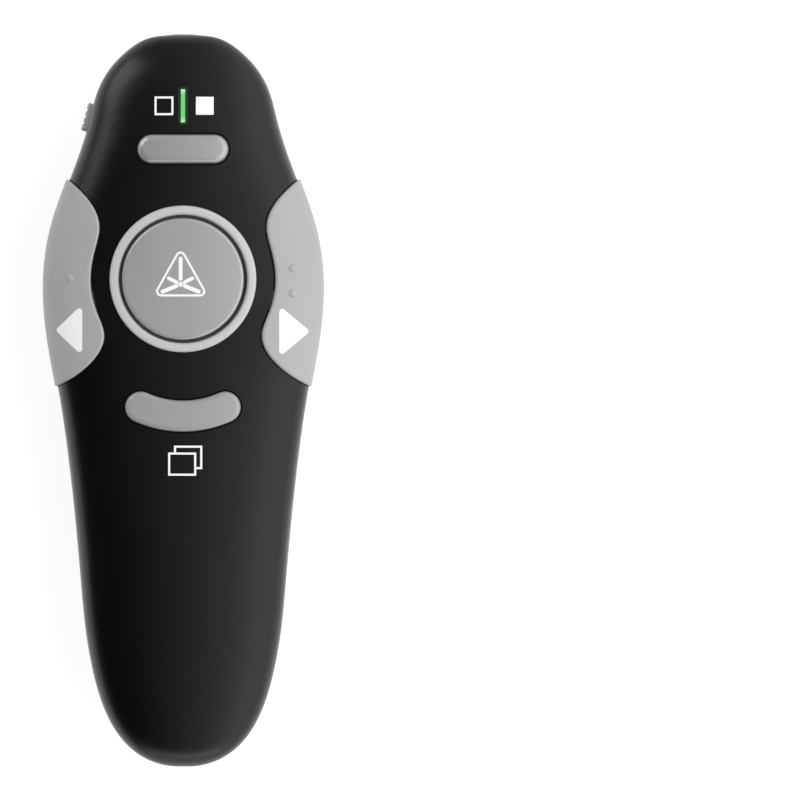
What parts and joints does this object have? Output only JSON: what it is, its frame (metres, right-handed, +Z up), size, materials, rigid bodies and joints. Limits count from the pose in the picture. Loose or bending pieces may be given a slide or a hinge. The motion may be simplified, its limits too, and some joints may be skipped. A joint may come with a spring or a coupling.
{
  "type": "wireless presentation clicker",
  "caption": "Handheld wireless presentation clicker with laser button, page keys, power slide, battery cover and a stowed USB receiver.",
  "frame": {"origin": "middle of the bounding box at the level of the flat rest land on the back", "axes": "+Y towards the head where the laser leaves, +Z up out of the face, +X to the right seen on the face"},
  "size_m": [0.0468, 0.122, 0.0279],
  "materials": {
    "body_black": "satin black ABS with a fine spark texture",
    "inner_black": "plain black ABS inside the cover",
    "key_grey": "satin mid-grey moulded keys",
    "button_grey": "satin grey laser button",
    "ring_silver": "pale satin grey ring",
    "knob_grey": "grey moulded knob",
    "light_green": "green diffusing light bar",
    "laser_black": "black laser bezel",
    "lens_clear": "collimating lens",
    "brass_barrel": "turned brass laser barrel",
    "board_green": "green solder mask",
    "chip_black": "epoxy chip packages",
    "can_steel": "crystal can and led body",
    "switch_white": "pale switch bodies",
    "screw_steel": "zinc plated screws",
    "contact_nickel": "nickel plated contacts",
    "cell_cream": "cream printed sleeve of the cell",
    "cell_steel": "bare ends of the cell",
    "usb_steel": "folded steel plug shell",
    "usb_black": "black moulded cap",
    "usb_carrier": "white contact carrier",
    "gold": "gold plated contacts"
  },
  "bodies": {
    "root": {"front_shell": "body_black", "rear_housing": "body_black", "button_ring": "ring_silver", "indicator_lens": "light_green", "led_chip": "switch_white", "circuit_board": "board_green", "tact_switches": "can_steel", "radio_chips": "chip_black", "crystal_can": "can_steel", "board_screws": "screw_steel", "housing_screw": "screw_steel", "laser_barrel": "brass_barrel", "laser_lens": "lens_clear", "laser_bezel": "laser_black", "slide_switch": "can_steel", "battery_jacket": "cell_cream", "battery_terminals": "cell_steel", "negative_contact": "contact_nickel", "positive_contact": "contact_nickel", "receiver_shell": "usb_steel", "receiver_cap": "usb_black", "receiver_tongue": "usb_carrier", "receiver_contacts": "gold", "receiver_board": "board_green"},
    "laser_key": {"laser_button": "button_grey", "laser_plunger": "chip_black"},
    "screen_key": {"screen_key": "key_grey", "screen_plunger": "chip_black"},
    "window_key": {"window_key": "key_grey", "window_plunger": "chip_black"},
    "back_key": {"back_key": "key_grey", "back_plunger": "chip_black"},
    "forward_key": {"forward_key": "key_grey", "forward_plunger": "chip_black"},
    "knob": {"power_knob": "knob_grey", "switch_lever": "switch_white"},
    "cover": {"battery_cover": "body_black"},
    "latch": {"cover_latch": "inner_black"}
  },
  "joints": [
    {"name": "laser_press", "type": "slide", "parent": "root", "child": "laser_key", "axis": [0, 0, -1], "range_m": [0, 0.0005], "stiffness_N_per_m": 1000},
    {"name": "screen_press", "type": "slide", "parent": "root", "child": "screen_key", "axis": [0, 0, -1], "range_m": [0, 0.0005], "stiffness_N_per_m": 1000},
    {"name": "window_press", "type": "slide", "parent": "root", "child": "window_key", "axis": [0, 0, -1], "range_m": [0, 0.0005], "stiffness_N_per_m": 1000},
    {"name": "back_press", "type": "slide", "parent": "root", "child": "back_key", "axis": [0, 0, -1], "range_m": [0, 0.0005], "stiffness_N_per_m": 1000},
    {"name": "forward_press", "type": "slide", "parent": "root", "child": "forward_key", "axis": [0, 0, -1], "range_m": [0, 0.0005], "stiffness_N_per_m": 1000},
    {"name": "power_slide", "type": "slide", "parent": "root", "child": "knob", "axis": [-0.2723, -0.9622, 0], "range_m": [0, 0.0023]},
    {"name": "cover_slide", "type": "slide", "parent": "root", "child": "cover", "axis": [0, -1, 0], "range_m": [0, 0.078]},
    {"name": "latch_flex", "type": "hinge", "parent": "cover", "child": "latch", "pos_m": [0, 0.0079, 0.00265], "axis": [1, 0, 0], "range_deg": [0, 8], "stiffness_Nm_per_rad": 0.05}
  ]
}
